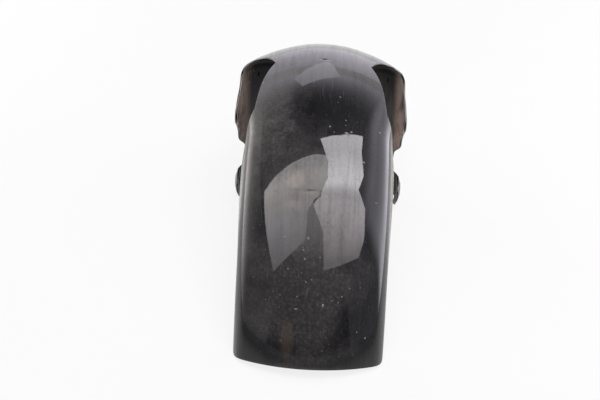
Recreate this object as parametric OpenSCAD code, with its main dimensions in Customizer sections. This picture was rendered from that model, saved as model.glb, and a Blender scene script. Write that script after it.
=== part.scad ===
// Motorcycle front mudguard, moulded in one piece: a domed front section with a wing in front of
// each fork leg, a skirt with two fixing points under each wing, and a long blade behind the legs.
// It is worked out in an arc frame, with the wheel's axle as the origin and the nose towards +Y,
// and is then tipped to stand on its two lower lugs and on the corners of the blade.
// Depths are measured from the ridge towards the axle, and angles forward from the top of the arc.

/* [Arc] */
// Radius of the ridge about the wheel's axle
crown_r = 318; // [300:1:336]
// Angle of the blade's end behind the top of the arc
rear_angle = 63; // [55:1:68]
// Angle of the nose in front of the top
nose_angle = 58; // [54:1:62]
// Angle of the inner corners of the fork openings in front of the top
fork_angle = 16; // [13:1:18]
// Thickness of the moulding
wall = 3; // [2.4:0.1:4]

/* [Front section] */
// Half the width at the wings' shoulders
wing_half_w = 108.5; // [106:0.5:110]
// Radius of the dome across the wings
wing_dome_r = 193; // [175:1:210]
// Radius where the dome turns down into the side walls
wing_shoulder_r = 16; // [12:1:20]
// Half the width over the skirts below the wings
skirt_half_w = 99.5; // [98:0.5:102]
// Outward lean of the wings' side walls, in degrees
wing_lean = 2; // [1:0.5:4]
// Half the width at the nose's shoulders
nose_half_w = 64; // [58:1:76]
// Radius of the dome across the nose
nose_dome_r = 118; // [104:1:140]
// Outward lean of the side walls at the nose, in degrees
nose_lean = 15; // [10:0.5:18]
// How far the sides of the nose stay behind its middle, in degrees
nose_sweep = 6; // [3:0.5:9]
// How far the front edge of a fork opening runs forward of its inner corner, in degrees
opening_sweep = 12; // [10:0.5:14]
// How far the rear edge of the wing's shoulder lies forward of that corner, in degrees
shoulder_sweep = 8; // [6:0.5:9]

/* [Rear blade] */
// Depth of the blade's edge at the inner corner of a fork opening
corner_depth = 9.5; // [8:0.5:13]
// How fast that edge falls along the opening, in millimetres per degree
opening_fall = 0.75; // [0.6:0.05:0.9]
// Half the width at the blade's shoulders, just behind the fork legs
blade_half_w = 87; // [84:0.5:90]
// Half the width at the blade's shoulders, at its end
tail_half_w = 86.5; // [83:0.5:89]
// Radius of the dome across the blade, behind the fork legs
blade_dome_r = 136; // [125:1:150]
// Radius of the dome across the blade, at its end
tail_dome_r = 148; // [130:1:165]
// Radius where the blade turns down into its flanks
blade_shoulder_r = 24; // [20:1:28]
// Outward lean of the flanks behind the fork legs, in degrees
flank_lean = 12.5; // [8:0.5:14]
// Outward lean of the flanks at the end, in degrees
tail_lean = 0.5; // [0:0.5:5]
// Depth of the flanks behind the fork legs
flank_depth = 61; // [57:1:66]
// Depth of the flanks at the end
tail_depth = 50; // [46:1:55]
// Radius of the two corners at the end of the blade
tail_corner_r = 22; // [16:1:24]
// How far the middle of the end stays short of its corners
tail_hollow = 2.5; // [0:0.5:4]

/* [Fork mountings] */
// Distance of both fixing holes in front of the axle
hole_y = 74; // [72:0.5:77]
// Height of the lower fixing hole above the axle
hole_z = 100; // [97:0.5:103]
// Distance between the two fixing holes of a side
hole_pitch = 115; // [112:1:118]
// Distance between the two faces that bolt against the fork legs
fork_w = 217; // [215:0.5:219]
// Diameter of the fixing holes
hole_d = 8.5; // [6.5:0.5:10]
// Diameter of the flat pads round the fixing holes
pad_d = 20; // [17:1:22]
// Thickness of the moulding at the pads
pad_t = 4; // [3.5:0.5:5]
// Height of the raised boss on the outside of the lower lugs
boss_h = 2.5; // [1:0.5:4]
// Radius of the lower lugs round their holes
lug_r = 22; // [19:0.5:24]
// How far the rounded ends of the lugs tuck in again
lug_tuck = 3; // [1:0.5:5]

/* [Hose hole] */
// Diameter of the small hole through the top of each wing's side wall
hose_d = 7; // [5:0.5:9]
// Angle of that hole in front of the top of the arc
hose_angle = 38; // [34:1:42]
// Distance of that hole below the wing's shoulder
hose_drop = 3.5; // [2:0.5:8]

/* [Hidden] */
$fn = 64;
rad = 180 / PI; // degrees in a radian

// Grid: rows run across the guard and are counted from the nose, columns are counted from the ridge.
front_rows = 16;
blade_rows = 29;
last_row = front_rows + blade_rows;
ridge_cols = 14; // ridge to the blade's edge
dome_cols = 3;   // that line to the start of the wing's shoulder
turn_cols = 4;   // round the wing's shoulder
skirt_cols = 13; // down the side wall to the height of the lower hole
lug_cols = 5;    // round the end of the lug
shoulder_col = ridge_cols + dome_cols;
wall_col = shoulder_col + turn_cols;
lug_col = wall_col + skirt_cols;
last_col = lug_col + lug_cols;

function mix(a, b, t) = a + (b - a) * t;
function blend(t, a, b) = let (s = max(0, min(1, (t - a) / (b - a)))) s * s * (3 - 2 * s);

// cross-section: dome, shoulder and leaning flank, from half its width, radii and lean
function section(half_w, dome_r, turn_r, lean) =
    let (
        end = 90 - lean,
        start = asin((half_w - turn_r * sin(end)) / (dome_r - turn_r)),
        depth = dome_r * (1 - cos(start))
    )
    [half_w, dome_r, turn_r, lean, start, depth, depth + turn_r * (cos(start) - cos(end)),
     dome_r * start / rad, dome_r * start / rad + turn_r * (end - start) / rad];
function dome_end(q) = q[7];
function turn_end(q) = q[8];
function turn_depth(q) = q[6];

// distance round the section to a depth
function reach(q, depth) =
    depth < q[5] ? q[1] * acos(1 - depth / q[1]) / rad
    : depth < q[6] ? q[7] + q[2] * (acos(cos(q[4]) - (depth - q[5]) / q[2]) - q[4]) / rad
    : q[8] + (depth - q[6]) / cos(q[3]);

// half width and depth at a distance round the section
function at(q, s) =
    s < q[7] ? let (t = s / q[1] * rad) [q[1] * sin(t), q[1] * (1 - cos(t))]
    : s < q[8] ? let (t = q[4] + (s - q[7]) / q[2] * rad)
        [q[1] * sin(q[4]) + q[2] * (sin(t) - sin(q[4])), q[5] + q[2] * (cos(q[4]) - cos(t))]
    : [q[0] + (s - q[8]) * sin(q[3]), q[6] + (s - q[8]) * cos(q[3])];

// columns lie closer together towards the edge
function col_part(c) = 1 - pow(1 - c / ridge_cols, 1.4);

// rear blade
function blade_section(a) =
    let (back = blend(-a, 8, rear_angle), start = blend(fork_angle - a, 0, fork_angle + 10))
    section(
        mix(mix(wing_half_w - 2, blade_half_w, start), tail_half_w, back),
        mix(mix(wing_dome_r, blade_dome_r, start), tail_dome_r, back),
        mix(mix(wing_shoulder_r, blade_shoulder_r, start), blade_shoulder_r, back),
        mix(flank_lean, tail_lean, back));
function blade_depth(a) =
    let (
        slope = corner_depth + opening_fall * (fork_angle - a),
        flank = mix(flank_depth, tail_depth, blend(-a, 15, rear_angle))
    )
    mix(slope, flank, blend(-a, 1, 16));
function end_trim(s, total) =
    let (over = s - (total - tail_corner_r))
    -tail_hollow * pow(s / total, 2)
        + (over > 0 ? tail_corner_r - sqrt(max(0, pow(tail_corner_r, 2) - pow(over, 2))) : 0);
function blade_point(i, c) =
    let (
        t = (i - front_rows) / blade_rows,
        a = mix(fork_angle, -rear_angle, t),
        q = blade_section(a),
        total = reach(q, blade_depth(a)),
        s = total * col_part(c),
        p = at(q, s),
        trim = end_trim(s, total) / (crown_r - p[1]) * rad * blend(t, 0.6, 1)
    )
    [p[0], p[1], a + trim];

// front section, from the fork openings (u = 0) to the nose (u = 1)
lug_reach = norm([hole_y, hole_z]);
lug_angle = atan2(hole_y, hole_z);
lug_depth = crown_r - lug_reach;
tab_depth = crown_r - norm([hole_y, hole_z + hole_pitch]);
lug_end = 68; // angle round the lug at which its rounded end stops
shoulder_depth = turn_depth(front_section(0));

function front_section(u) =
    let (w = pow(u, 1.5))
    section(mix(wing_half_w, nose_half_w, w), mix(wing_dome_r, nose_dome_r, w),
            wing_shoulder_r, mix(wing_lean, nose_lean, w));
// angle between the lug's middle and its outline, at a depth
function lug_half_angle(depth) =
    let (r = crown_r - depth)
    acos(min(1, (r * r + lug_reach * lug_reach - lug_r * lug_r) / (2 * r * lug_reach)));
// rear edge of the side wall and skirt: back to the tab, forward in two steps past the leg, back to the lug
function rear_edge(depth) =
    depth > lug_depth ? lug_angle - lug_half_angle(depth)
    : let (
        top_y = (crown_r - shoulder_depth) * sin(fork_angle + shoulder_sweep),
        tab_y = hole_y - 16,
        shelf_y = hole_y + 10,
        waist_y = hole_y + 20,
        lug_y = (crown_r - lug_depth) * sin(lug_angle - lug_half_angle(lug_depth)),
        y = top_y + (tab_y - top_y) * blend(depth, shoulder_depth * 0.8, tab_depth + 3)
            + (shelf_y - tab_y) * blend(depth, tab_depth, tab_depth + 29)
            + (waist_y - shelf_y) * blend(depth, tab_depth + 38, tab_depth + 51)
            + (lug_y - waist_y) * blend(depth, lug_depth - 30, lug_depth + 3)
    )
    asin(y / (crown_r - depth));
// front edge: from the nose down and back to the lug
function front_edge(depth) =
    depth > lug_depth ? lug_angle + lug_half_angle(depth)
    : mix(nose_angle - nose_sweep, lug_angle + lug_half_angle(lug_depth),
          pow(max(0, (depth - shoulder_depth * 0.7) / (lug_depth - shoulder_depth * 0.7)), 0.8));
// the side wall stands out to the fork legs' faces beside the legs, and tucks in at its end
function beside_leg(depth, y) =
    blend(depth, tab_depth * 0.45, tab_depth - 5) * (1 - blend(y, hole_y + 5, hole_y + 26));
function tuck(depth) = lug_tuck * blend(depth, lug_depth + pad_d / 2 - 2, lug_depth + lug_r);

function front_point(i, c) =
    let (
        u = 1 - i / front_rows,
        q = front_section(u),
        line = mix(reach(front_section(0), corner_depth), dome_end(front_section(1)) * 0.8, u),
        s = c <= ridge_cols ? line * col_part(c)
            : c <= shoulder_col ? mix(line, dome_end(q), (c - ridge_cols) / dome_cols)
            : mix(dome_end(q), turn_end(q), (c - shoulder_col) / turn_cols)
    )
    c <= wall_col ?
        let (
            p = at(q, s),
            out = max(0, (s - line) / (turn_end(q) - line)),
            sweep = opening_sweep * (1 - pow(1 - out, 3)),
            rear = fork_angle + sweep + (rear_edge(turn_depth(q)) - fork_angle - opening_sweep) * pow(out, 4),
            nose = nose_angle - nose_sweep * pow(s / turn_end(q), 2)
        )
        [p[0], p[1], mix(rear, nose, u)]
    :
        let (
            depth = c <= lug_col ? mix(turn_depth(q), lug_depth, (c - wall_col) / skirt_cols)
                : lug_depth + lug_r * sin(lug_end * (c - lug_col) / lug_cols),
            a = mix(rear_edge(depth), front_edge(depth), u),
            top = q[0] + (depth - turn_depth(q)) * tan(q[3]),
            free = mix(top, skirt_half_w, blend(depth, tab_depth - 6, tab_depth + 61)),
            leg = beside_leg(depth, (crown_r - depth) * sin(a)),
            x = mix(free, fork_w / 2 + wall, leg) - tuck(depth)
        )
        [x, depth, a];

// the moulding as one closed surface
function side_point(i, c) =
    let (p = i <= front_rows ? front_point(i, c) : blade_point(i, c))
    [p[0], (crown_r - p[1]) * sin(p[2]), (crown_r - p[1]) * cos(p[2])];
function cols(i) = i <= front_rows ? last_col : ridge_cols;
half = [for (i = [0 : last_row]) [for (c = [0 : cols(i)]) side_point(i, c)]];
function outer(i, j) =
    let (p = half[i][abs(j)]) [j < 0 ? -p[0] : p[0], p[1], p[2]];
function normal(i, j) =
    let (
        n = cols(i),
        low = abs(j) <= ridge_cols ? last_row : front_rows,
        along = outer(min(i + 1, low), j) - outer(max(i - 1, 0), j),
        across = outer(i, min(j + 1, n)) - outer(i, max(j - 1, -n)),
        v = cross(along, across)
    )
    v / norm(v);
function inner(i, j) = outer(i, j) - wall * normal(i, j);

// free edge, once round: nose, side, fork opening, blade, end, and back up the other side
edge = concat(
    [for (j = [-last_col : last_col - 1]) [0, j]],
    [for (i = [0 : front_rows - 1]) [i, last_col]],
    [for (j = [last_col : -1 : ridge_cols + 1]) [front_rows, j]],
    [for (i = [front_rows : last_row - 1]) [i, ridge_cols]],
    [for (j = [ridge_cols : -1 : 1 - ridge_cols]) [last_row, j]],
    [for (i = [last_row : -1 : front_rows + 1]) [i, -ridge_cols]],
    [for (j = [-ridge_cols : -1 : 1 - last_col]) [front_rows, j]],
    [for (i = [front_rows : -1 : 1]) [i, -last_col]]);
edge_n = len(edge);
// rounded rim: the middle of the edge stands out by nearly half the thickness
function rim_point(k) =
    let (
        e = edge[k],
        before = edge[(k + edge_n - 1) % edge_n],
        after = edge[(k + 1) % edge_n],
        n = normal(e[0], e[1]),
        run = outer(after[0], after[1]) - outer(before[0], before[1]),
        out = cross(n, run)
    )
    outer(e[0], e[1]) - n * wall / 2 + out / norm(out) * wall * 0.4;

front_n = 2 * last_col + 1;
blade_n = 2 * ridge_cols + 1;
side_n = (front_rows + 1) * front_n + blade_rows * blade_n;
function index(i, j) =
    i <= front_rows ? i * front_n + j + last_col
    : (front_rows + 1) * front_n + (i - front_rows - 1) * blade_n + j + ridge_cols;
grid = [for (i = [0 : last_row]) for (j = [-cols(i) : cols(i)]) [i, j]];
points = concat(
    [for (g = grid) outer(g[0], g[1])],
    [for (g = grid) inner(g[0], g[1])],
    [for (k = [0 : edge_n - 1]) rim_point(k)]);
cells = [
    for (i = [0 : last_row - 1])
        for (j = [-min(cols(i), cols(i + 1)) : min(cols(i), cols(i + 1)) - 1])
            [index(i, j), index(i, j + 1), index(i + 1, j + 1), index(i + 1, j)]];
faces = concat(
    [for (q = cells) each [[q[0], q[1], q[2]], [q[0], q[2], q[3]]]],
    [for (q = cells) each [[q[2] + side_n, q[1] + side_n, q[0] + side_n],
                           [q[3] + side_n, q[2] + side_n, q[0] + side_n]]],
    [for (k = [0 : edge_n - 1])
        let (
            l = (k + 1) % edge_n,
            a = index(edge[k][0], edge[k][1]),
            b = index(edge[l][0], edge[l][1]),
            m = 2 * side_n + k,
            n = 2 * side_n + l
        )
        each [[a, m, b], [b, m, n], [m, a + side_n, n], [n, a + side_n, b + side_n]]]);

// standing pose: the ground touches the round ends of the lugs and of the blade's corners
corner_reach = crown_r - tail_depth + tail_corner_r;
corner_angle = rear_angle - (tail_corner_r - tail_hollow) / corner_reach * rad;
corner_y = -corner_reach * sin(corner_angle);
corner_z = corner_reach * cos(corner_angle);
tip = asin((lug_r - tail_corner_r) / norm([hole_y - corner_y, hole_z - corner_z]))
    - atan2(hole_z - corner_z, hole_y - corner_y);
tipped = [for (p = points) [p[1] * cos(tip) - p[2] * sin(tip), p[1] * sin(tip) + p[2] * cos(tip)]];
tipped_y = [for (p = tipped) p[0]];
low_z = min([for (p = tipped) p[1]]);
mid_y = (min(tipped_y) + max(tipped_y)) / 2;

hose_reach = crown_r - shoulder_depth - hose_drop;

module at_holes(heights) {
    for (side = [-1, 1], z = heights)
        translate([side * fork_w / 2, hole_y, z]) rotate([0, side * 90, 0]) children();
}

// raised round boss on the outside of a lug, with sloping sides
module boss() {
    translate([0, 0, wall - 0.5])
        cylinder(d1 = lug_r * 1.7, d2 = pad_d, h = boss_h + 0.5, $fn = 36);
}

module mudguard() {
    color([0.05, 0.05, 0.055])
        translate([0, -mid_y, -low_z]) rotate([tip, 0, 0])
            difference() {
                resize([0, 0, 0]) union() {
                    polyhedron(points, faces, convexity = 8);
                    at_holes([hole_z, hole_z + hole_pitch])
                        cylinder(d = pad_d, h = pad_t, $fn = 36);
                    at_holes([hole_z]) boss();
                }
                at_holes([hole_z, hole_z + hole_pitch])
                    cylinder(d = hole_d, h = 6 * pad_t, center = true);
                translate([0, hose_reach * sin(hose_angle), hose_reach * cos(hose_angle)])
                    rotate([0, 90, 0]) cylinder(d = hose_d, h = 3 * wing_half_w, center = true, $fn = 32);
            }
}

mudguard();
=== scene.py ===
import math

import bpy
import numpy as np
from mathutils import Matrix, Vector


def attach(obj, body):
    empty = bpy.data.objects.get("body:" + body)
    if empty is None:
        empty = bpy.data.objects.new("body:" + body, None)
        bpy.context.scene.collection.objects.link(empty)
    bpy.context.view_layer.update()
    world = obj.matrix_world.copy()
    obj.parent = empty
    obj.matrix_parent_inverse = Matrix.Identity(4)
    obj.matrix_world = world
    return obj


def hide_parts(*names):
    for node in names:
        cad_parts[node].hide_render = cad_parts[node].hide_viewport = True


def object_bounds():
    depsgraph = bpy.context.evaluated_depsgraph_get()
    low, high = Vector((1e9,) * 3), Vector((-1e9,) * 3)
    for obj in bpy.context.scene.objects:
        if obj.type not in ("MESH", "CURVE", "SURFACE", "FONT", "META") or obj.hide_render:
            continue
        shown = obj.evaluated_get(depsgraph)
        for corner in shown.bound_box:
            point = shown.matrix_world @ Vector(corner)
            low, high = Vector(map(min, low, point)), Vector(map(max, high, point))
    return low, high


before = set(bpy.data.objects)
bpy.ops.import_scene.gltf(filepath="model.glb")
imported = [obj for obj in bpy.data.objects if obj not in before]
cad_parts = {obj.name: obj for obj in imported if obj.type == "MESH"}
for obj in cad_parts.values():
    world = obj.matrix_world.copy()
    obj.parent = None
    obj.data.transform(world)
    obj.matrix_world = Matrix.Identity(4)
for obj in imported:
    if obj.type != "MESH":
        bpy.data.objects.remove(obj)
cadLow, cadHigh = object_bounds()
print("packed part loaded")

mm = 0.001

# The guard's form, in millimetres and degrees. It is worked out in the arc frame: the wheel's axle is the
# origin and the nose points to +Y. Depths run from the ridge towards the axle.
guard = {
    "crownR": 318.0, "rearAngle": 63.0, "noseAngle": 58.0, "forkAngle": 16.0, "wall": 3.0,
    "wingHalfW": 108.5, "wingDomeR": 193.0, "wingShoulderR": 16.0, "wingLean": 2.0,
    "skirtHalfW": 99.5, "noseHalfW": 64.0, "noseDomeR": 118.0, "noseLean": 15.0,
    "noseSweep": 6.0, "openingSweep": 12.0, "shoulderSweep": 8.0,
    "cornerDepth": 9.5, "openingFall": 0.75, "bladeHalfW": 87.0, "tailHalfW": 86.5,
    "bladeDomeR": 136.0, "tailDomeR": 148.0, "bladeShoulderR": 24.0,
    "flankLean": 12.5, "tailLean": 0.5, "flankDepth": 61.0, "tailDepth": 50.0,
    "tailCornerR": 22.0, "tailHollow": 2.5,
    "holeY": 74.0, "holeZ": 100.0, "holePitch": 115.0, "forkW": 217.0, "holeD": 8.5,
    "padD": 20.0, "padT": 4.0, "bossH": 2.5, "lugR": 22.0, "lugTuck": 3.0, "lugEnd": 68.0,
    "hoseD": 7.0, "hoseAngle": 38.0, "hoseDrop": 3.5,
    # where one form passes into the next, in degrees of arc, and by how much
    "wingTuck": 2, "wingFade": 10, "tailFrom": 8, "flankFrom": 15, "slopeSpan": (1, 16),
    "trimFrom": 0.6, "noseCurve": 1.5, "noseLine": 0.8, "rearCurve": 3, "wallCurve": 4,
    # how finely the surface is drawn
    "frontRows": 64, "bladeRows": 186, "ridgeCols": 42, "domeCols": 9, "turnCols": 14,
    "skirtCols": 46, "lugCols": 15, "rimSteps": 6, "rimOut": 0.4,
    "colCurve": 1.4, "samples": 2001,
}
g = guard

# dents and creases: place across, angle along the arc, half sizes, depth
marks = [
    {"x": -7.5, "angle": -26.4, "wide": 6.0, "long": 2.1, "deep": 0.46},
    {"x": 14.0, "angle": -27.0, "wide": 13.0, "long": 3.0, "deep": 0.06},
    {"x": -24.0, "angle": -26.4, "wide": 12.0, "long": 2.0, "deep": 0.05},
    {"x": 1.5, "angle": 14.8, "wide": 4.2, "long": 2.2, "deep": 1.0},
]
# marks with closer rows over them: how much closer, and over which share of the blade
closeRows = ((marks[0], 3, 0.035), (marks[3], 4, 0.016))
# skirt: its edges, measured from the bolts along Y and from the tab and lug in depth
skirt = {
    "tabBack": 16, "shelf": 10, "waist": 20, "topShare": 0.8, "tabBelow": 3, "shelfBelow": 29,
    "waistFrom": 38, "waistTo": 51, "lugAbove": 30, "lugBelow": 3, "frontShare": 0.7, "frontCurve": 0.8,
    "legShare": 0.45, "legAbove": 5, "legFrom": 5, "legTo": 26, "freeAbove": 6, "freeBelow": 61, "padRim": 2,
}


def sinD(a):
    return math.sin(math.radians(a))


def cosD(a):
    return math.cos(math.radians(a))


def mix(a, b, t):
    return a + (b - a) * t


def ease(t, a, b):
    s = max(0.0, min(1.0, (t - a) / (b - a)))
    return s * s * (3 - 2 * s)


# cross-section: dome, shoulder and leaning flank
def crossSection(halfW, domeR, turnR, lean):
    end = 90 - lean
    start = math.degrees(math.asin((halfW - turnR * sinD(end)) / (domeR - turnR)))
    depth = domeR * (1 - cosD(start))
    domeEnd = domeR * math.radians(start)
    return {
        "halfW": halfW, "domeR": domeR, "turnR": turnR, "lean": lean, "start": start,
        "domeDepth": depth, "turnDepth": depth + turnR * (cosD(start) - cosD(end)),
        "domeEnd": domeEnd, "turnEnd": domeEnd + turnR * math.radians(end - start),
    }


# distance round the section to a depth
def reachOf(q, depth):
    if depth < q["domeDepth"]:
        return q["domeR"] * math.acos(1 - depth / q["domeR"])
    if depth < q["turnDepth"]:
        turn = math.acos(cosD(q["start"]) - (depth - q["domeDepth"]) / q["turnR"])
        return q["domeEnd"] + q["turnR"] * (turn - math.radians(q["start"]))
    return q["turnEnd"] + (depth - q["turnDepth"]) / cosD(q["lean"])


# half width and depth at a distance round the section
def pointAt(q, s):
    if s < q["domeEnd"]:
        t = s / q["domeR"]
        return q["domeR"] * math.sin(t), q["domeR"] * (1 - math.cos(t))
    if s < q["turnEnd"]:
        t = math.radians(q["start"]) + (s - q["domeEnd"]) / q["turnR"]
        return (q["domeR"] * sinD(q["start"]) + q["turnR"] * (math.sin(t) - sinD(q["start"])),
                q["domeDepth"] + q["turnR"] * (cosD(q["start"]) - math.cos(t)))
    down = s - q["turnEnd"]
    return q["halfW"] + down * sinD(q["lean"]), q["turnDepth"] + down * cosD(q["lean"])


def colPart(c):
    return 1 - (1 - c / g["ridgeCols"]) ** g["colCurve"]


# rear blade
def bladeSection(a):
    back = ease(-a, g["tailFrom"], g["rearAngle"])
    start = ease(g["forkAngle"] - a, 0, g["forkAngle"] + g["wingFade"])
    return crossSection(
        mix(mix(g["wingHalfW"] - g["wingTuck"], g["bladeHalfW"], start), g["tailHalfW"], back),
        mix(mix(g["wingDomeR"], g["bladeDomeR"], start), g["tailDomeR"], back),
        mix(mix(g["wingShoulderR"], g["bladeShoulderR"], start), g["bladeShoulderR"], back),
        mix(g["flankLean"], g["tailLean"], back))


def bladeDepth(a):
    slope = g["cornerDepth"] + g["openingFall"] * (g["forkAngle"] - a)
    flank = mix(g["flankDepth"], g["tailDepth"], ease(-a, g["flankFrom"], g["rearAngle"]))
    return mix(slope, flank, ease(-a, *g["slopeSpan"]))


def endTrim(s, total):
    over = s - (total - g["tailCornerR"])
    corner = g["tailCornerR"] - math.sqrt(max(0, g["tailCornerR"] ** 2 - over ** 2)) if over > 0 else 0
    return corner - g["tailHollow"] * (s / total) ** 2


# rows of the blade, closer together over the crease and the dent
def bladeSteps():
    t = np.linspace(0, 1, g["samples"])
    density = 1
    for mark, more, near in closeRows:
        middle = (g["forkAngle"] - mark["angle"]) / (g["forkAngle"] + g["rearAngle"])
        density = density + more * np.exp(-((t - middle) / near) ** 2)
    total = np.concatenate([[0], np.cumsum((density[1:] + density[:-1]) / 2)])
    return np.interp(np.linspace(0, 1, g["bladeRows"] + 1), total / total[-1], t)


bladeT = bladeSteps()


def bladePoint(i, c):
    t = bladeT[i - g["frontRows"]]
    a = mix(g["forkAngle"], -g["rearAngle"], t)
    q = bladeSection(a)
    total = reachOf(q, bladeDepth(a))
    s = total * colPart(c)
    x, depth = pointAt(q, s)
    trim = math.degrees(endTrim(s, total) / (g["crownR"] - depth)) * ease(t, g["trimFrom"], 1)
    return x, depth, a + trim


# front section, from the fork openings to the nose
lugReach = math.hypot(g["holeY"], g["holeZ"])
lugAngle = math.degrees(math.atan2(g["holeY"], g["holeZ"]))
lugDepth = g["crownR"] - lugReach
tabDepth = g["crownR"] - math.hypot(g["holeY"], g["holeZ"] + g["holePitch"])


def frontSection(u):
    w = u ** g["noseCurve"]
    return crossSection(
        mix(g["wingHalfW"], g["noseHalfW"], w), mix(g["wingDomeR"], g["noseDomeR"], w),
        g["wingShoulderR"], mix(g["wingLean"], g["noseLean"], w))


shoulderDepth = frontSection(0)["turnDepth"]


def lugHalfAngle(depth):
    r = g["crownR"] - depth
    return math.degrees(math.acos(min(1, (r * r + lugReach ** 2 - g["lugR"] ** 2) / (2 * r * lugReach))))


# rear edge of side wall and skirt: back to the tab, forward in two steps past the leg, back to the lug
def rearEdge(depth):
    if depth > lugDepth:
        return lugAngle - lugHalfAngle(depth)
    topY = (g["crownR"] - shoulderDepth) * sinD(g["forkAngle"] + g["shoulderSweep"])
    tabY, shelfY = g["holeY"] - skirt["tabBack"], g["holeY"] + skirt["shelf"]
    waistY = g["holeY"] + skirt["waist"]
    lugY = lugReach * sinD(lugAngle - lugHalfAngle(lugDepth))
    y = topY + (tabY - topY) * ease(depth, shoulderDepth * skirt["topShare"], tabDepth + skirt["tabBelow"])
    y += (shelfY - tabY) * ease(depth, tabDepth, tabDepth + skirt["shelfBelow"])
    y += (waistY - shelfY) * ease(depth, tabDepth + skirt["waistFrom"], tabDepth + skirt["waistTo"])
    y += (lugY - waistY) * ease(depth, lugDepth - skirt["lugAbove"], lugDepth + skirt["lugBelow"])
    return math.degrees(math.asin(y / (g["crownR"] - depth)))


def frontEdge(depth):
    if depth > lugDepth:
        return lugAngle + lugHalfAngle(depth)
    start = shoulderDepth * skirt["frontShare"]
    down = max(0, (depth - start) / (lugDepth - start))
    return mix(g["noseAngle"] - g["noseSweep"], lugAngle + lugHalfAngle(lugDepth), down ** skirt["frontCurve"])


# 1 where the skirt lies against the fork leg, 0 where it stands free
def besideLeg(depth, y):
    low = ease(depth, tabDepth * skirt["legShare"], tabDepth - skirt["legAbove"])
    return low * (1 - ease(y, g["holeY"] + skirt["legFrom"], g["holeY"] + skirt["legTo"]))


def frontPoint(i, c):
    u = 1 - i / g["frontRows"]
    q = frontSection(u)
    shoulderCol = g["ridgeCols"] + g["domeCols"]
    wallCol = shoulderCol + g["turnCols"]
    lugCol = wallCol + g["skirtCols"]
    line = mix(reachOf(frontSection(0), g["cornerDepth"]), frontSection(1)["domeEnd"] * g["noseLine"], u)
    if c <= wallCol:
        if c <= g["ridgeCols"]:
            s = line * colPart(c)
        elif c <= shoulderCol:
            s = mix(line, q["domeEnd"], (c - g["ridgeCols"]) / g["domeCols"])
        else:
            s = mix(q["domeEnd"], q["turnEnd"], (c - shoulderCol) / g["turnCols"])
        x, depth = pointAt(q, s)
        out = max(0, (s - line) / (q["turnEnd"] - line))
        rear = g["forkAngle"] + g["openingSweep"] * (1 - max(0, 1 - out) ** g["rearCurve"])
        rear += (rearEdge(q["turnDepth"]) - g["forkAngle"] - g["openingSweep"]) * out ** g["wallCurve"]
        nose = g["noseAngle"] - g["noseSweep"] * (s / q["turnEnd"]) ** 2
        return x, depth, mix(rear, nose, u)
    if c <= lugCol:
        depth = mix(q["turnDepth"], lugDepth, (c - wallCol) / g["skirtCols"])
    else:
        depth = lugDepth + g["lugR"] * sinD(g["lugEnd"] * (c - lugCol) / g["lugCols"])
    a = mix(rearEdge(depth), frontEdge(depth), u)
    top = q["halfW"] + (depth - q["turnDepth"]) * math.tan(math.radians(q["lean"]))
    free = mix(top, g["skirtHalfW"], ease(depth, tabDepth - skirt["freeAbove"], tabDepth + skirt["freeBelow"]))
    leg = besideLeg(depth, (g["crownR"] - depth) * sinD(a))
    tuck = g["lugTuck"] * ease(depth, lugDepth + g["padD"] / 2 - skirt["padRim"], lugDepth + g["lugR"])
    return mix(free, g["forkW"] / 2 + g["wall"], leg) - tuck, depth, a


lastCol = g["ridgeCols"] + g["domeCols"] + g["turnCols"] + g["skirtCols"] + g["lugCols"]
lastRow = g["frontRows"] + g["bladeRows"]


def colsOf(i):
    return lastCol if i <= g["frontRows"] else g["ridgeCols"]


# the standing pose: the ground touches the round ends of the lugs and of the blade's corners
def standingPose():
    reach = g["crownR"] - g["tailDepth"] + g["tailCornerR"]
    angle = g["rearAngle"] - math.degrees((g["tailCornerR"] - g["tailHollow"]) / reach)
    y, z = -reach * sinD(angle), reach * cosD(angle)
    away = math.hypot(g["holeY"] - y, g["holeZ"] - z)
    return math.asin((g["lugR"] - g["tailCornerR"]) / away) - math.atan2(g["holeZ"] - z, g["holeY"] - y)


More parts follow.
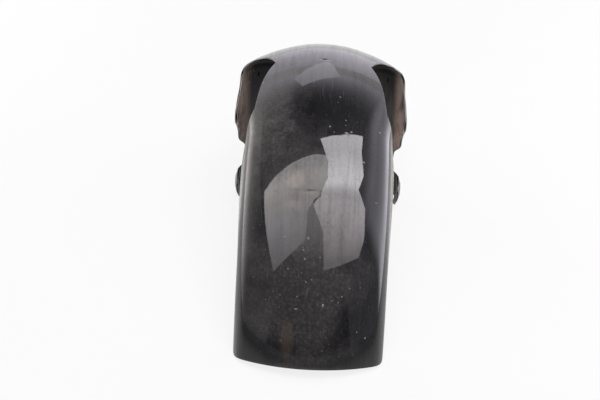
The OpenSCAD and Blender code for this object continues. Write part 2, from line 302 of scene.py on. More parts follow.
def buildShell():
    half = []
    for i in range(lastRow + 1):
        row = []
        for c in range(colsOf(i) + 1):
            x, depth, a = frontPoint(i, c) if i <= g["frontRows"] else bladePoint(i, c)
            r = g["crownR"] - depth
            row.append((x, r * sinD(a), r * cosD(a)))
        half.append(np.array(row))
    front = np.array(half[:g["frontRows"] + 1])
    blade = np.array([row[:g["ridgeCols"] + 1] for row in half])

    # a normal for each grid point, from its neighbours along and across the guard
    def fullOf(part):
        mirror = part[:, :0:-1] * np.array([-1, 1, 1])
        return np.concatenate([mirror, part], axis=1)

    def slopes(grid, axis):
        d = np.empty_like(grid)
        a = np.moveaxis(grid, axis, 0)
        b = np.moveaxis(d, axis, 0)
        b[1:-1] = a[2:] - a[:-2]
        b[0] = a[1] - a[0]
        b[-1] = a[-1] - a[-2]
        return d

    frontFull, bladeFull = fullOf(front), fullOf(blade)
    rc, fr = g["ridgeCols"], g["frontRows"]
    alongFront, acrossFront = slopes(frontFull, 0), slopes(frontFull, 1)
    alongBlade, acrossBlade = slopes(bladeFull, 0), slopes(bladeFull, 1)
    midFront = slice(lastCol - rc, lastCol + rc + 1)
    alongFront[:, midFront] = alongBlade[:fr + 1]
    acrossBlade[:fr + 1] = acrossFront[:, midFront]
    normals = [np.cross(alongFront, acrossFront), np.cross(alongBlade, acrossBlade)]
    normals = [n / np.linalg.norm(n, axis=2, keepdims=True) for n in normals]

    points, normal, number = [], [], {}
    for i in range(lastRow + 1):
        for j in range(-colsOf(i), colsOf(i) + 1):
            number[i, j] = len(points)
            if i <= fr:
                points.append(frontFull[i, j + lastCol])
                normal.append(normals[0][i, j + lastCol])
            else:
                points.append(bladeFull[i, j + rc])
                normal.append(normals[1][i, j + rc])
    points, normal = np.array(points), np.array(normal)
    count = len(points)
    angle = np.degrees(np.arctan2(points[:, 1], points[:, 2]))
    for mark in marks:
        across = (points[:, 0] - mark["x"]) / mark["wide"]
        along = np.radians(angle - mark["angle"]) * g["crownR"] / mark["long"]
        points = points - (mark["deep"] * np.exp(-across ** 2 - along ** 2))[:, None] * normal
    inner = points - g["wall"] * normal

    # free edge, once round: nose, side, fork opening, blade, end, and back up the other side
    edge = [(0, j) for j in range(-lastCol, lastCol)]
    edge += [(i, lastCol) for i in range(fr)]
    edge += [(fr, j) for j in range(lastCol, rc, -1)]
    edge += [(i, rc) for i in range(fr, lastRow)]
    edge += [(lastRow, j) for j in range(rc, -rc, -1)]
    edge += [(i, -rc) for i in range(lastRow, fr, -1)]
    edge += [(fr, j) for j in range(-rc, -lastCol, -1)]
    edge += [(i, -lastCol) for i in range(fr, 0, -1)]
    ring = np.array([number[e] for e in edge])
    run = points[np.roll(ring, -1)] - points[np.roll(ring, 1)]
    out = np.cross(normal[ring], run)
    out /= np.linalg.norm(out, axis=1, keepdims=True)
    rims = [ring]
    extra = []
    for k in range(1, g["rimSteps"]):
        t = math.pi * k / g["rimSteps"]
        away = g["wall"] * (g["rimOut"] * math.sin(t) * out - (1 - math.cos(t)) / 2 * normal[ring])
        rims.append(2 * count + len(ring) * (k - 1) + np.arange(len(ring)))
        extra.append(points[ring] + away)
    rims.append(ring + count)

    faces, finish = [], []
    for i in range(lastRow):
        n = min(colsOf(i), colsOf(i + 1))
        for j in range(-n, n):
            q = [number[i, j], number[i, j + 1], number[i + 1, j + 1], number[i + 1, j]]
            faces.append(q)
            finish.append(0)
            faces.append([v + count for v in reversed(q)])
            finish.append(1)
    for a, b in zip(rims[:-1], rims[1:]):
        for k in range(len(ring)):
            m = (k + 1) % len(ring)
            faces.append([a[k], b[k], b[m], a[m]])
            finish.append(0)
    allPoints = np.concatenate([points, inner] + extra)

    tip = standingPose()
    tipped = allPoints @ np.array(Matrix.Rotation(tip, 3, "X")).T
    return tipped, faces, finish, tip


shellPoints, shellFaces, shellFinish, tip = buildShell()
shift = Vector((0, (cadLow.y + cadHigh.y) / 2, 0)) - Vector((
    0, (shellPoints[:, 1].min() + shellPoints[:, 1].max()) / 2 * mm, shellPoints[:, 2].min() * mm))
standing = Matrix.Translation(shift) @ Matrix.Rotation(tip, 4, "X") @ Matrix.Scale(mm, 4)
axle = standing @ Vector((0, 0, 0))
print("shell worked out:", len(shellPoints), "points, axle at", tuple(round(v, 4) for v in axle))


def newMesh(name, points, faces):
    mesh = bpy.data.meshes.new(name)
    mesh.from_pydata([tuple(p) for p in points], [], faces)
    mesh.validate()
    mesh.update()
    obj = bpy.data.objects.new(name, mesh)
    bpy.context.scene.collection.objects.link(obj)
    return obj


# Shorthand for one node tree. A value may be a number, a colour, a vector or another node's output, and most
# calls hand back the new node's output.
class NodeBench:
    def __init__(self, tree):
        self.nodes, self.links = tree.nodes, tree.links

    def feed(self, slot, value):
        if isinstance(value, (int, float, tuple)):
            slot.default_value = value
        else:
            self.links.new(value, slot)

    def node(self, kind, values, **settings):
        node = self.nodes.new("ShaderNode" + kind)
        for setting, value in settings.items():
            setattr(node, setting, value)
        for label, value in values.items():
            self.feed(node.inputs[label], value)
        return node

    def math(self, how, *values):
        return self.node("Math", dict(enumerate(values)), operation=how).outputs["Value"]

    def chain(self, how, first, others):
        for value in others:
            first = self.math(how, first, value)
        return first

    def times(self, first, *others):
        return self.chain("MULTIPLY", first, others)

    def plus(self, first, *others):
        return self.chain("ADD", first, others)

    def most(self, first, *others):
        return self.chain("MAXIMUM", first, others)

    def least(self, first, *others):
        return self.chain("MINIMUM", first, others)

    def vector(self, how, *values):
        node = self.node("VectorMath", dict(enumerate(values)), operation=how)
        return node.outputs["Value" if how == "LENGTH" else "Vector"]

    def join(self, x, y, z=0.0):
        return self.node("CombineXYZ", {"X": x, "Y": y, "Z": z}).outputs["Vector"]

    def split(self, vector):
        return self.node("SeparateXYZ", {"Vector": vector}).outputs

    # where a point is in the object's own frame
    def objectPlace(self):
        return self.node("TexCoord", {}).outputs["Object"]

    # eased from toLow to toHigh while the value goes from low to high
    def ramp(self, value, low, high, toLow=0.0, toHigh=1.0):
        return self.node("MapRange", {"Value": value, "From Min": low, "From Max": high, "To Min": toLow,
                                      "To Max": toHigh}, interpolation_type="SMOOTHSTEP").outputs["Result"]

    def mixColour(self, share, a, b):
        return self.node("Mix", {0: share, 6: a, 7: b}, data_type="RGBA").outputs[2]

    def noise(self, at, scale, detail=2.0, roughness=0.5):
        return self.node("TexNoise", {"Vector": at, "Scale": scale, "Detail": detail,
                                      "Roughness": roughness}).outputs["Fac"]

    def mask(self, group, values):
        return self.node("Group", values, node_tree=group).outputs["Mask"]

    def bump(self, shader, height, strength, depth):
        node = self.node("Bump", {"Height": height, "Strength": strength, "Distance": depth})
        normal = node.outputs["Normal"]
        self.feed(shader.inputs["Normal"], normal)
        return normal


def newMaterial(name):
    mat = bpy.data.materials.new(name)
    mat.use_nodes = True
    return mat, NodeBench(mat.node_tree), mat.node_tree.nodes["Principled BSDF"]


# a node group that works out one mask from named inputs, vectors and numbers
def maskGroup(name, vectors, numbers):
    tree = bpy.data.node_groups.new(name, "ShaderNodeTree")
    for kind, values in (("NodeSocketVector", vectors), ("NodeSocketFloat", numbers)):
        for label, value in values.items():
            item = tree.interface.new_socket(name=label, in_out="INPUT", socket_type=kind)
            item.default_value = value
    tree.interface.new_socket(name="Mask", in_out="OUTPUT", socket_type="NodeSocketFloat")
    start, end = tree.nodes.new("NodeGroupInput"), tree.nodes.new("NodeGroupOutput")
    return tree, NodeBench(tree), start.outputs, end.inputs["Mask"]


# thin marks that run along the arc
def makeStreaks():
    tree, bench, start, mask = maskGroup(
        "streaks", {"Place": (0, 0, 0)},
        {"Fineness": 400.0, "Length": 12.0, "From": 0.62, "To": 0.75, "Seed": 0.0})
    stretched = bench.vector("MULTIPLY", start["Place"], bench.join(start["Fineness"], start["Length"]))
    noise = bench.node("TexNoise", {"Vector": stretched, "W": start["Seed"], "Scale": 1.0, "Detail": 3.0},
                       noise_dimensions="4D").outputs["Fac"]
    bench.feed(mask, bench.ramp(noise, start["From"], start["To"]))
    return tree


# scattered small round specks
def makeSpecks():
    tree, bench, start, mask = maskGroup(
        "specks", {"Place": (0, 0, 0)}, {"Count": 120.0, "Size": 0.16, "Share": 0.2, "Sharp": 18.0})
    cell = bench.node("TexVoronoi", {"Vector": start["Place"], "Scale": start["Count"]}).outputs
    chance = bench.node("SeparateColor", {"Color": cell["Color"]}).outputs
    picked = bench.math("LESS_THAN", chance["Red"], start["Share"])
    inside = bench.math("SUBTRACT", bench.times(chance["Green"], start["Size"]), cell["Distance"])
    inside = bench.most(bench.least(bench.times(inside, start["Sharp"]), 1.0), 0.0)
    bench.feed(mask, bench.times(inside, picked))
    return tree


# cloudy dust: broad patches with a finer grain in them
def makeDust():
    tree, bench, start, mask = maskGroup(
        "dust", {"Place": (0, 0, 0)}, {"Patches": 14.0, "Grain": 700.0, "From": 0.42, "To": 0.75})
    broad = bench.noise(start["Place"], start["Patches"], 5.0)
    grain = bench.ramp(bench.noise(start["Place"], start["Grain"]), 0.35, 0.7, 0.45, 1.0)
    bench.feed(mask, bench.times(bench.ramp(broad, start["From"], start["To"]), grain))
    return tree


# a soft blot round one place, with a ragged edge
def makeBlot():
    tree, bench, start, mask = maskGroup(
        "blot", {"Place": (0, 0, 0), "Centre": (0, 0, 0), "Spread": (1, 1, 1)},
        {"Ragged": 0.4, "Grain": 160.0})
    away = bench.vector("SUBTRACT", start["Place"], start["Centre"])
    reach = bench.vector("LENGTH", bench.vector("DIVIDE", away, start["Spread"]))
    wobble = bench.math("SUBTRACT", bench.noise(start["Place"], start["Grain"], 4.0), 0.5)
    reach = bench.plus(reach, bench.times(wobble, start["Ragged"], 4.0))
    bench.feed(mask, bench.ramp(reach, 1.0, 0.35))
    return tree


streaks, specks, dust, blot = makeStreaks(), makeSpecks(), makeDust(), makeBlot()


# Where a point is: in the object's own frame, and on the guard, with x across and the arc's length along it,
# so that streaks and scratches run over the crest.
def arcPlace(bench):
    at = bench.objectPlace()
    split = bench.split(at)
    y = bench.math("SUBTRACT", split["Y"], axle.y)
    z = bench.math("SUBTRACT", split["Z"], axle.z)
    along = bench.times(bench.math("ARCTAN2", y, z), g["crownR"] * mm)
    return at, bench.join(split["X"], along), split


# a place along the arc, in metres from the point above the axle
def alongArc(angle):
    return math.radians(angle - math.degrees(tip)) * g["crownR"] * mm


# the glossy outside
paint = {
    "black": (0.0046, 0.0045, 0.0068, 1), "dustColour": (0.265, 0.242, 0.236, 1),
    "mudColour": (0.15, 0.105, 0.075, 1), "paleColour": (0.5, 0.41, 0.35, 1),
    "roughness": 0.45, "dustyRoughness": 0.8, "baseShine": 0.07, "coatIor": 1.6, "coatRoughness": 0.028,
    # how strongly each kind of dust and mark shows; the flank weight is dust with a painted highlight along
    # the flanks
    "film": 0.03, "haze": 0.13, "shoulder": 0.2, "veil": 0.09, "flank": 0.28, "grain": 0.05, "wiped": 0.04,
    "scratch": 0.4, "smudge": 0.2, "pale": 0.2, "seam": 0.45, "cluster": 0.45, "dots": 1.6, "crumbs": 0.5,
    "fewCrumbs": 0.1, "fleck": 1.8, "scored": 0.14,
    # how much of the coat's gloss is gone
    "coatLoss": 0.6, "fineLoss": 0.18, "broadLoss": 0.22, "cloudLoss": 0.5, "grainLoss": 0.2, "coatLeft": 0.1,
    # unevenness of the surface
    "bump": 0.25, "bumpDepth": 0.0006, "wave": 0.35, "chipHeight": 0.12, "grainHeight": 0.05,
    # the lighter band on the flanks, dust with a painted highlight: distance from the middle, and the end
    # behind the crest
    "flankDustAndSheenX": (0.078, 0.0875), "flankDustAndSheenY": (0.055, 0.03),
}
# soft patches: place across, angle along the arc, half size across and along, raggedness, grain
patches = {
    "haze": (-0.008, -44, 0.078, 0.16, 0.35, 22.0), "shoulder": (-0.07, 0, 0.055, 0.12, 0.3, 40.0),
    "pale": (-0.024, -23.5, 0.015, 0.016, 0.35, 60.0), "seam": (-0.023, -29.6, 0.014, 0.007, 0.6, 110.0),
    "veil": (-0.036, -18, 0.062, 0.08, 0.3, 50.0), "smudge": (-0.024, -57, 0.011, 0.03, 0.22, 150.0),
    "cluster": (0.021, -5, 0.03, 0.05, 0.3, 60.0),
}
# streaks: fineness across, length, the noise from and to which they show, seed
streakKinds = {
    "fine": (420.0, 22.0, 0.45, 0.72, 3.0), "rare": (800.0, 30.0, 0.66, 0.71, 8.0),
    "broad": (110.0, 9.0, 0.4, 0.65, 5.0),
}
# specks: count, size, share of the cells that have one
speckKinds = {"dots": (95.0, 0.15, 0.16), "crumbs": (260.0, 0.26, 0.22), "fleck": (300.0, 0.30, 0.16)}
# single chips and grit: place across, angle along the arc, half size across and along, brightness
chips = [
    (0.0317, -11.6, 0.0022, 0.0016, 1.0), (0.0345, -12.1, 0.0013, 0.0028, 0.7),
    (0.0372, -11.0, 0.0016, 0.0013, 0.6), (0.0715, -8.4, 0.0014, 0.0022, 0.5),
    (0.0690, -27.0, 0.0022, 0.0014, 0.3), (-0.0059, -36.2, 0.0013, 0.0015, 0.9),
    (-0.0325, -36.0, 0.0022, 0.0010, 0.6), (-0.0103, -38.6, 0.0010, 0.0011, 0.6),
    (-0.0088, -40.4, 0.0011, 0.0011, 0.6), (-0.0058, -45.0, 0.0010, 0.0012, 0.4),
    (0.0142, -49.5, 0.0014, 0.0022, 1.0), (-0.0156, -50.5, 0.0024, 0.0010, 0.5),
]
chipEdge = (0.5, 900.0)  # raggedness and grain
# single scratches: place across, angle along the arc, half length
scratches = [
    (0.0015, 1.0, 0.018), (0.0125, 2.5, 0.013), (-0.010, 3.5, 0.009), (0.0265, 0.5, 0.008),
    (0.047, -14.0, 0.008), (-0.004, -47.0, 0.012),
]
scratchEdge = (0.1, 90.0)
scratchHalfW = 0.0007


def makeGlossBlack():
    mat, bench, shader = newMaterial("glossBlack")
    times, plus, most, least, ramp = bench.times, bench.plus, bench.most, bench.least, bench.ramp
    at, place, split = arcPlace(bench)

    def patch(x, angle, wide, long, ragged, grain):
        return bench.mask(blot, {"Place": place, "Centre": (x, alongArc(angle), 0), "Spread": (wide, long, 1),
                                 "Ragged": ragged, "Grain": grain})

    soft = {name: patch(*values) for name, values in patches.items()}
    streak = {name: bench.mask(streaks, {"Place": place, "Fineness": fineness, "Length": length, "From": low,
                                         "To": high, "Seed": seed})
              for name, (fineness, length, low, high, seed) in streakKinds.items()}
    speck = {name: bench.mask(specks, {"Place": at, "Count": count, "Size": size, "Share": share})
             for name, (count, size, share) in speckKinds.items()}
    cloud = bench.mask(dust, {"Place": at, "Patches": 11.0, "Grain": 900.0, "From": 0.36, "To": 0.74})
    grain = bench.noise(at, 260.0, 6.0, 0.7)
    # a lighter band along both flanks in the dust colour: partly dust, partly a painted highlight standing in
    # for the sheen on the side walls
    flank = ramp(bench.math("ABSOLUTE", split["X"]), *paint["flankDustAndSheenX"])
    flank = times(flank, ramp(split["Y"], *paint["flankDustAndSheenY"]))

    film = plus(times(cloud, paint["film"]), times(flank, paint["flank"]),
                *[times(soft[name], paint[name]) for name in ("haze", "shoulder", "veil")])
    film = times(film, ramp(grain, 0.35, 0.65, 0.7, 1.25))
    film = plus(film, times(ramp(grain, 0.5, 0.72), plus(soft["haze"], 0.35), paint["grain"]))
    lines = plus(times(streak["fine"], paint["wiped"]), times(streak["rare"], paint["scratch"]))
    lines = times(lines, plus(times(cloud, 0.8), 0.3))

    fleck = times(speck["fleck"], soft["cluster"], paint["cluster"])
    for x, angle, wide, long, light in chips:
        fleck = most(fleck, times(patch(x, angle, wide, long, *chipEdge), light))
    scored = plus(*[patch(x, angle, scratchHalfW, length, *scratchEdge) for x, angle, length in scratches])
    bright = most(times(speck["dots"], paint["dots"]),
                  times(speck["crumbs"], plus(times(soft["haze"], paint["crumbs"]), paint["fewCrumbs"])),
                  times(fleck, paint["fleck"]), times(scored, paint["scored"]))

    # all dust and marks together, with the flanks' painted highlight; they lighten the colour and take away
    # gloss
    dustAndFlankSheen = least(plus(film, lines, bright), 1.0)
    pale = most(soft["pale"], times(soft["seam"], paint["seam"]))
    mud = times(soft["smudge"], paint["smudge"])
    base = bench.mixColour(dustAndFlankSheen, paint["black"], paint["dustColour"])
    base = bench.mixColour(times(pale, paint["pale"]), base, paint["paleColour"])
    base = bench.mixColour(mud, base, paint["mudColour"])
    bench.feed(shader.inputs["Base Color"], base)
    dull = least(plus(dustAndFlankSheen, mud), 1.0)
    bench.feed(shader.inputs["Roughness"], ramp(dull, 0.0, 1.0, paint["roughness"], paint["dustyRoughness"]))
    worn = plus(times(streak["fine"], paint["fineLoss"]), times(streak["broad"], paint["broadLoss"]),
                times(cloud, paint["cloudLoss"]), times(ramp(grain, 0.3, 0.7), paint["grainLoss"]))
    worn = plus(times(worn, paint["coatLoss"]), dull)
    bench.feed(shader.inputs["Coat Weight"], ramp(worn, 0.0, 1.0, 1.0, paint["coatLeft"]))
    shader.inputs["Coat Roughness"].default_value = paint["coatRoughness"]
    shader.inputs["Specular IOR Level"].default_value = paint["baseShine"]
    shader.inputs["Coat IOR"].default_value = paint["coatIor"]
    height = plus(times(bench.noise(at, 38.0, 1.0), paint["wave"]), times(bright, paint["chipHeight"]),
                  times(grain, paint["grainHeight"]))
    normal = bench.bump(shader, height, paint["bump"], paint["bumpDepth"])
    bench.feed(shader.inputs["Coat Normal"], normal)
    return mat


# the bare inside, with dust on the side walls and scuffed outer corners
rawSide = {
    "black": (0.005, 0.0049, 0.0053, 1), "dustColour": (0.48, 0.355, 0.3, 1), "roughness": 0.65,
    "dustyRoughness": 0.95, "shine": 0.08, "wallDust": 0.8, "padDust": 0.06, "frontDust": 0.22,
    "baseDust": 0.01, "rightMore": 2.6, "scuff": 0.5, "bump": 0.35, "bumpDepth": 0.0005,
    # where the wall's dust starts, outwards and upwards, and where the right wing's front wall has it
    "wallX": (0.095, 0.105), "wallZ": (0.055, 0.1), "frontX": (0.045, 0.07), "frontZ": (0.16, 0.125),
    "cornerPlace": (0.099, 0.134, 0.163), "cornerSize": (0.012, 0.03, 0.014),
}


def makeRawBlack(name, wallDust):
    mat, bench, shader = newMaterial(name)
    times, most, ramp = bench.times, bench.most, bench.ramp
    at, place, split = arcPlace(bench)
    across = bench.math("ABSOLUTE", split["X"])
    cloud = bench.mask(dust, {"Place": at, "Patches": 30.0, "Grain": 800.0, "From": 0.2, "To": 0.6})
    rubbed = bench.mask(streaks, {"Place": place, "Fineness": 120.0, "Length": 260.0, "From": 0.35, "To": 0.7,
                                  "Seed": 2.0})
    wall = times(ramp(across, *rawSide["wallX"]), wallDust, ramp(split["Z"], *rawSide["wallZ"]))
    wall = times(wall, ramp(split["X"], -0.05, 0.05, 1.0, rawSide["rightMore"]))
    front = times(ramp(split["X"], *rawSide["frontX"]), ramp(split["Z"], *rawSide["frontZ"]))
    front = times(front, rawSide["frontDust"])
    amount = times(cloud, bench.plus(most(wall, front), rawSide["baseDust"]))
    amount = times(amount, ramp(rubbed, 0.0, 1.0, 0.7, 1.15))
    mirrored = bench.join(across, split["Y"], split["Z"])
    corner = bench.mask(blot, {"Place": mirrored, "Centre": rawSide["cornerPlace"],
                               "Spread": rawSide["cornerSize"], "Ragged": 0.45, "Grain": 130.0})
    flakes = bench.mask(specks, {"Place": at, "Count": 240.0, "Size": 0.5, "Share": 0.5})
    amount = bench.least(most(amount, times(corner, flakes, rawSide["scuff"])), 1.0)
    bench.feed(shader.inputs["Base Color"], bench.mixColour(amount, rawSide["black"], rawSide["dustColour"]))
    roughness = ramp(amount, 0.0, 1.0, rawSide["roughness"], rawSide["dustyRoughness"])
    bench.feed(shader.inputs["Roughness"], roughness)
    shader.inputs["Specular IOR Level"].default_value = rawSide["shine"]
    bench.bump(shader, bench.noise(at, 420.0), rawSide["bump"], rawSide["bumpDepth"])
    return mat


glossBlack = makeGlossBlack()
rawBlack = makeRawBlack("rawBlack", rawSide["wallDust"])
padBlack = makeRawBlack("padBlack", rawSide["padDust"])
print("materials made")

shell = newMesh("mudguardShell", shellPoints * mm + np.array(shift), shellFaces)
shell.data.materials.append(glossBlack)
shell.data.materials.append(rawBlack)
shell.data.polygons.foreach_set("material_index", shellFinish)

# pads, bosses and holes, in millimetres
fixings = {
    "edge": 0.5, "edgeTurn": 0.3, "proud": 0.03, "bossFoot": 0.85, "bossSunk": 0.5,
    "bossRim": [(0.2, -0.4), (-0.3, -0.1), (-1.0, 0.0)],  # from the pad's radius and the boss's top
    "holeCut": (-12, 12), "hoseCut": (-60, 20), "steps": 72, "holeSteps": 48, "hoseSteps": 32,
    "sharpAngle": 32,
}


# a turned solid from (radius, height) pairs, standing on a fork leg's side
def turned(name, profile, side, y, z, finish, steps=fixings["steps"]):
    points, faces = [], []
    for r, h in profile:
        for k in range(steps):
            t = 2 * math.pi * k / steps
            p = Vector((side * (g["forkW"] / 2 + h), y + r * math.cos(t), z + r * math.sin(t)))
            points.append(standing @ p)
    rings = len(profile)
    for a in range(rings - 1):
        for k in range(steps):
            m = (k + 1) % steps
            face = [a * steps + k, a * steps + m, (a + 1) * steps + m, (a + 1) * steps + k]
            faces.append(face if side > 0 else face[::-1])
    bottom = list(range(steps))
    top = [(rings - 1) * steps + k for k in range(steps)]
    faces += [bottom[::-1], top] if side > 0 else [bottom, top[::-1]]
    solid = newMesh(name, points, faces)
    solid.data.materials.append(finish)
    return solid


def combine(target, other, how):
    step = target.modifiers.new(how.lower(), "BOOLEAN")
    step.operation = how
    step.solver = "EXACT"
    step.object = other
    graph = bpy.context.evaluated_depsgraph_get()
    mesh = bpy.data.meshes.new_from_object(target.evaluated_get(graph))
    target.modifiers.clear()
    old = target.data
    target.data = mesh
    bpy.data.meshes.remove(old)
    bpy.data.objects.remove(other)


holeHeights = (g["holeZ"], g["holeZ"] + g["holePitch"])
padR, padEdge = g["padD"] / 2, fixings["edge"]
padTurn = fixings["edgeTurn"] * padEdge
padTop, bossTop = g["padT"], g["wall"] + g["bossH"]
padProfile = [(padR, -fixings["proud"]), (padR, padTop - padEdge), (padR - padTurn, padTop - padTurn),
              (padR - padEdge, padTop)]
bossProfile = [(g["lugR"] * fixings["bossFoot"], g["wall"] - fixings["bossSunk"])]
bossProfile += [(padR + out, bossTop + up) for out, up in fixings["bossRim"]]
for side in (-1, 1):
    for z in holeHeights:
        combine(shell, turned("pad", padProfile, side, g["holeY"], z, padBlack), "UNION")
    combine(shell, turned("boss", bossProfile, side, g["holeY"], g["holeZ"], glossBlack), "UNION")
reach = [round(v.co.x / mm, 2) for v in shell.data.vertices]
print("pads and bosses joined:", len(shell.data.polygons), "faces, from x", min(reach), "to", max(reach))

hoseR = g["crownR"] - shoulderDepth - g["hoseDrop"]
hoseY, hoseZ = hoseR * sinD(g["hoseAngle"]), hoseR * cosD(g["hoseAngle"])
boltCut = [(g["holeD"] / 2, h) for h in fixings["holeCut"]]
hoseCut = [(g["hoseD"] / 2, h) for h in fixings["hoseCut"]]
for side in (-1, 1):
    for z in holeHeights:
        cutter = turned("hole", boltCut, side, g["holeY"], z, padBlack, fixings["holeSteps"])
        combine(shell, cutter, "DIFFERENCE")
for side in (-1, 1):
    cutter = turned("hoseHole", hoseCut, side, hoseY, hoseZ, rawBlack, fixings["hoseSteps"])
    combine(shell, cutter, "DIFFERENCE")
print("holes cut:", len(shell.data.polygons), "faces")

shell.data.shade_smooth()
shell.data.set_sharp_from_angle(angle=math.radians(fixings["sharpAngle"]))

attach(shell, "root")
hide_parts("mudguard")
print("finish:", [(m.name, sum(1 for f in shell.data.polygons if f.material_index == k))
                  for k, m in enumerate(shell.data.materials)])

# Stage: pale floor and backdrop, a dark box open to the front, and light cards. Only reflections show the
# cards. Places are in metres, and light is a strength.
studio = {
    "floorColour": (0.88, 0.88, 0.88, 1), "floorSize": 30.0, "floorGlow": 0.8, "farFloor": (0.5, 1.6),
    "floorZ": -0.0005, "fill": 0.5, "wall": 1.8, "rear": -2.6, "wallFront": 1.9, "ceilingFront": 0.9,
    "ceiling": 1.52, "rightCeiling": 1.515, "gapHeight": 1.51, "leftHeight": 1.5, "rightHeight": 1.49,
    "darkFloorZ": 0.001, "darkFloorFront": -0.16, "frontWallY": 3.4, "frontWallX": 5.0, "frontWallTop": 1.6,
    "frontX": 4.0, "frontEnd": 2.3, "rightInner": 1.15, "rightRear": -1.1,
    "doorScale": 0.7, "doorY": 0.05 + 0.7 * 1.95, "doorLow": 0.23,
    "leftPane": 4.9, "rightPane": 8.7, "front": 1.25,
}
warm, cool, rose = (1, 0.94, 0.9), (1.015, 0.975, 1.02), (1.015, 0.945, 0.975)
violet = (1.015, 0.97, 1.075, 1)
# places along Y, share of the light, tint
leftStops = [
    (-1.8, 0.26, cool), (-1.45, 0.36, cool), (-1.15, 0.48, cool), (-0.85, 0.66, cool), (-0.5, 0.8, warm),
    (-0.25, 1.0, warm), (0.0, 0.8, cool),
]
rightStops = [
    (-1.8, 0.22, rose), (-1.5, 0.34, rose), (-1.2, 0.47, rose), (-0.9, 0.62, rose), (-0.68, 0.62, rose),
    (-0.58, 0.55, rose), (-0.5, 0.66, cool), (-0.38, 1.05, cool), (-0.22, 1.0, cool), (0.05, 0.74, cool),
]
# outlines of the light cards
leftPane = [
    (0.18, 0.0), (-0.06, 0.0), (-0.5, -0.04), (-1.1, -0.1), (-1.58, -0.17), (-1.68, -0.87), (-1.72, -2.0),
    (-0.76, -1.5), (-0.24, -1.21), (-0.2, -0.75), (-0.05, -0.6), (0.17, -0.45), (0.24, -0.2),
]
rightPane = [
    (0.02, 0.22), (0.45, 0.36), (1.07, 0.66), (1.05, 0.37), (1.22, 0.05), (1.1, -0.22), (1.5, -0.4),
    (1.8, -0.94), (2.03, -1.32), (1.01, -1.72), (0.42, -1.89), (0.24, -1.05), (-0.06, -0.65),
    (0.12, -0.5), (0.23, -0.28), (0.21, -0.08),
]
gapPane = [
    (-0.07, -0.61), (-0.2, -0.75), (-0.24, -1.21), (-0.76, -1.5), (-0.3, -1.9), (0.42, -1.89),
    (0.24, -1.05),
]
doorPane = [
    (-0.64, 1.57), (-0.55, 1.97), (-0.16, 1.75), (0.14, 1.58), (0.35, 1.45), (0.23, 1.21),
    (0.06, 0.8),
]


def darkMaterial(name):
    mat, bench, shader = newMaterial(name)
    shader.inputs["Base Color"].default_value = (0, 0, 0, 1)
    shader.inputs["Specular IOR Level"].default_value = 0.0
    return mat, bench, shader


# light that follows a ramp along Y, which may slant across, between two places
def rampMaterial(name, slant, low, high, strength, stops):
    mat, bench, shader = darkMaterial(name)
    shader.inputs["Emission Strength"].default_value = strength
    split = bench.split(bench.objectPlace())
    slid = bench.math("SUBTRACT", split["Y"], bench.times(split["X"], slant))
    share = bench.node("MapRange", {"Value": slid, "From Min": low, "From Max": high}).outputs["Result"]
    ramp = bench.node("ValToRGB", {"Fac": share})
    points = ramp.color_ramp.elements
    while len(points) < len(stops):
        points.new(0.5)
    for point, (at, light, tint) in zip(points, stops):
        point.position = (at - low) / (high - low)
        point.color = (light * tint[0], light * tint[1], light * tint[2], 1)
    bench.feed(shader.inputs["Emission Color"], ramp.outputs["Color"])
    return mat


# light that changes along one axis, and where asked fades along Y or rises beside along X
def glowMaterial(name, axis, low, high, lowLight, highLight, fade=None, tint=(1, 1, 1, 1), beside=None):
    mat, bench, shader = darkMaterial(name)
    shader.inputs["Emission Color"].default_value = tint
    split = bench.split(bench.objectPlace())
    light = bench.ramp(split[axis], low, high, lowLight, highLight)
    if fade:
        light = bench.times(light, bench.ramp(split["Y"], *fade))
    if beside:
        light = bench.most(light, bench.ramp(split["X"], *beside))
    bench.feed(shader.inputs["Emission Strength"], light)
    return mat


# 1 where the camera, a reflection or a look through glass meets the surface, 0 where only light does
def seenDirectly(bench):
    path = bench.node("LightPath", {}).outputs
    return bench.most(path["Is Camera Ray"], path["Is Glossy Ray"], path["Is Transmission Ray"])


# the floor: white where it is seen, with part of the object's shadow kept near it, and clear from below
def floorMaterial():
    mat, bench, shader = newMaterial("paleFloor")
    shader.inputs["Base Color"].default_value = studio["floorColour"]
    shader.inputs["Roughness"].default_value = 0.9
    shader.inputs["Specular IOR Level"].default_value = 0.0
    away = bench.vector("LENGTH", bench.objectPlace())
    glow = bench.ramp(away, *studio["farFloor"], studio["floorGlow"], 1.0)
    white = bench.node("Emission", {"Strength": 1.0}).outputs["Emission"]
    above = bench.node("MixShader", {"Fac": bench.times(seenDirectly(bench), glow), 1: shader.outputs["BSDF"],
                                     2: white}).outputs["Shader"]
    under = bench.node("NewGeometry", {}).outputs["Backfacing"]
    clear = bench.node("BsdfTransparent", {}).outputs["BSDF"]
    both = bench.node("MixShader", {"Fac": under, 1: above, 2: clear}).outputs["Shader"]
    bench.feed(mat.node_tree.nodes["Material Output"].inputs["Surface"], both)
    return mat


def stagePiece(name, points, mat, onlyReflected=False):
    piece = newMesh(name, points, [list(range(len(points)))])
    piece.data.materials.append(mat)
    if onlyReflected:
        piece.visible_camera = piece.visible_diffuse = piece.visible_shadow = False
        piece.visible_transmission = piece.visible_volume_scatter = False
    return piece


# corners of a level card, of one that faces along Y, and of one that faces across
def level(left, right, rear, front, z):
    return [(left, rear, z), (right, rear, z), (right, front, z), (left, front, z)]


def facing(halfW, y, top):
    return [(-halfW, y, 0), (halfW, y, 0), (halfW, y, top), (-halfW, y, top)]


def sideWall(x):
    rear, front, top = studio["rear"], studio["wallFront"], studio["ceiling"]
    return [(x, rear, 0), (x, front, 0), (x, front, top), (x, rear, top)]


def flatPane(outline, z):
    return [(x, y, z) for x, y in outline]


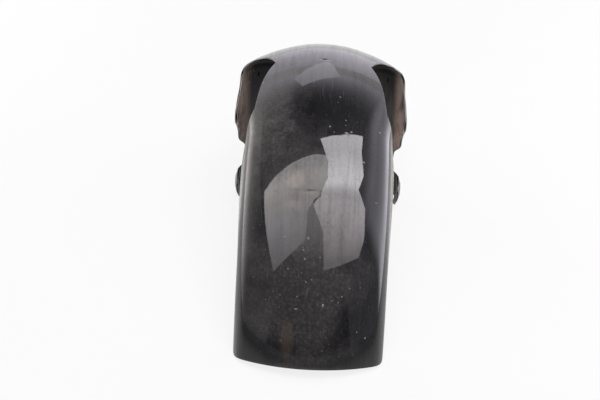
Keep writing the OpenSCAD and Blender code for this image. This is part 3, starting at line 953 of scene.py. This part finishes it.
half = studio["floorSize"] / 2
stagePiece("floor", level(-half, half, -half, half, studio["floorZ"]), floorMaterial())
wall, rear, ceiling, scale = studio["wall"], studio["rear"], studio["ceiling"], studio["doorScale"]
doorLow, doorY = studio["doorLow"], studio["doorY"]
dark, _, _ = darkMaterial("darkCard")
cards = {
    "darkCeiling": (level(-wall, wall, rear, studio["ceilingFront"], ceiling), dark),
    "darkRear": (facing(wall, rear, ceiling), dark),
    "darkFloor": (level(-wall, wall, rear, studio["darkFloorFront"], studio["darkFloorZ"]),
                  glowMaterial("rearFloorLight", "Y", -0.46, -0.16, 0.2, 0.95)),
    "leftWall": (sideWall(-wall),
                 glowMaterial("leftWallLight", "Z", 0.1, 1.45, 4.6, 0.7, (-1.2, 0.8, 0.08, 1.0),
                              (1, 0.96, 0.93, 1))),
    "rightWall": (sideWall(wall),
                  glowMaterial("rightWallLight", "Z", 0.1, 1.45, 4.6, 1.2, (-0.85, -0.3, 0.06, 1.0),
                               (1.0, 0.975, 1.05, 1))),
    "gapGlow": (flatPane(gapPane, studio["gapHeight"]), glowMaterial("gapLight", "Y", -1.8, -0.7, 0.1, 1.7)),
    "frontWall": (facing(studio["frontWallX"], studio["frontWallY"], studio["frontWallTop"]),
                  glowMaterial("frontWallLight", "X", -2.0, 2.0, 1.15, 1.45, tint=violet)),
    "frontGlow": (level(-studio["frontX"], studio["frontX"], studio["ceilingFront"], studio["frontEnd"],
                        ceiling),
                  glowMaterial("frontLight", "Y", 0.95, 2.3, 0.0, studio["front"], tint=violet,
                               beside=(1.15, 1.7, 0.0, 1.4))),
    "doorPane": ([(scale * x, doorY, doorLow + scale * (z - doorLow)) for x, z in doorPane],
                 glowMaterial("doorLight", "Z", 0.6, 1.45, 1.75, 1.7, tint=(1.01, 0.97, 1.05, 1))),
    "rightCeiling": (level(studio["rightInner"], wall, studio["rightRear"], studio["ceilingFront"],
                           studio["rightCeiling"]),
                     glowMaterial("rightCeilingLight", "X", 1.2, 1.7, 0.2, 1.4, (-1.1, 0.3, 0.1, 1.0),
                                  (1.03, 0.965, 1.09, 1))),
    "leftPane": (flatPane(leftPane, studio["leftHeight"]),
                 rampMaterial("leftLight", 0.0, -1.9, 0.1, studio["leftPane"], leftStops)),
    "rightPane": (flatPane(rightPane, studio["rightHeight"]),
                  rampMaterial("rightLight", 0.2, -1.9, 0.1, studio["rightPane"], rightStops)),
}
for name, (points, mat) in cards.items():
    stagePiece(name, points, mat, True)
print("stage set")

world = bpy.data.worlds.new("studio")
bpy.context.scene.world = world
world.use_nodes = True
bench = NodeBench(world.node_tree)
background = world.node_tree.nodes["Background"]
background.inputs["Color"].default_value = (1, 1, 1, 1)
bench.feed(background.inputs["Strength"], bench.ramp(seenDirectly(bench), 0.0, 1.0, studio["fill"], 1.0))

# soft boxes aimed at the guard, left out of reflections: place, size, power
lampAim = Vector((0, 0, 0.1))
lamps = {
    "overhead": ((0.2, -0.6, 1.9), (1.2, 1.2), 16),
    "leftBox": ((-1.35, 0.75, 0.45), (1.1, 0.8), 9),
    "rightBox": ((1.35, 0.45, 0.45), (1.3, 0.8), 9),
}
for name, (spot, size, power) in lamps.items():
    data = bpy.data.lights.new(name, "AREA")
    data.shape = "RECTANGLE"
    data.size, data.size_y = size
    data.energy = power
    lamp = bpy.data.objects.new(name, data)
    bpy.context.scene.collection.objects.link(lamp)
    lamp.location = spot
    lamp.rotation_euler = (lampAim - Vector(spot)).to_track_quat("-Z", "Y").to_euler()
    lamp.visible_glossy = False

# camera, from the fit of the part's outline; the focal length is in pixels of the image
eye = {
    "place": (0.0063, -1.1644, 0.8583), "forward": (-0.0196, 0.8233, -0.5673), "up": (-0.0528, 0.5658, 0.8229),
    "focal": 1083.87, "imageWidth": 600, "sensor": 36,
}
camData = bpy.data.cameras.new("camera")
camera = bpy.data.objects.new("camera", camData)
bpy.context.scene.collection.objects.link(camera)
forward, up = Vector(eye["forward"]).normalized(), Vector(eye["up"])
right = forward.cross(up).normalized()
up = right.cross(forward)
turn = Matrix((right, up, -forward)).transposed()
camera.matrix_world = Matrix.Translation(eye["place"]) @ turn.to_4x4()
camData.sensor_width = eye["sensor"]
camData.lens = eye["focal"] / eye["imageWidth"] * eye["sensor"]
bpy.context.scene.camera = camera
bpy.context.scene.view_settings.view_transform = "Standard"
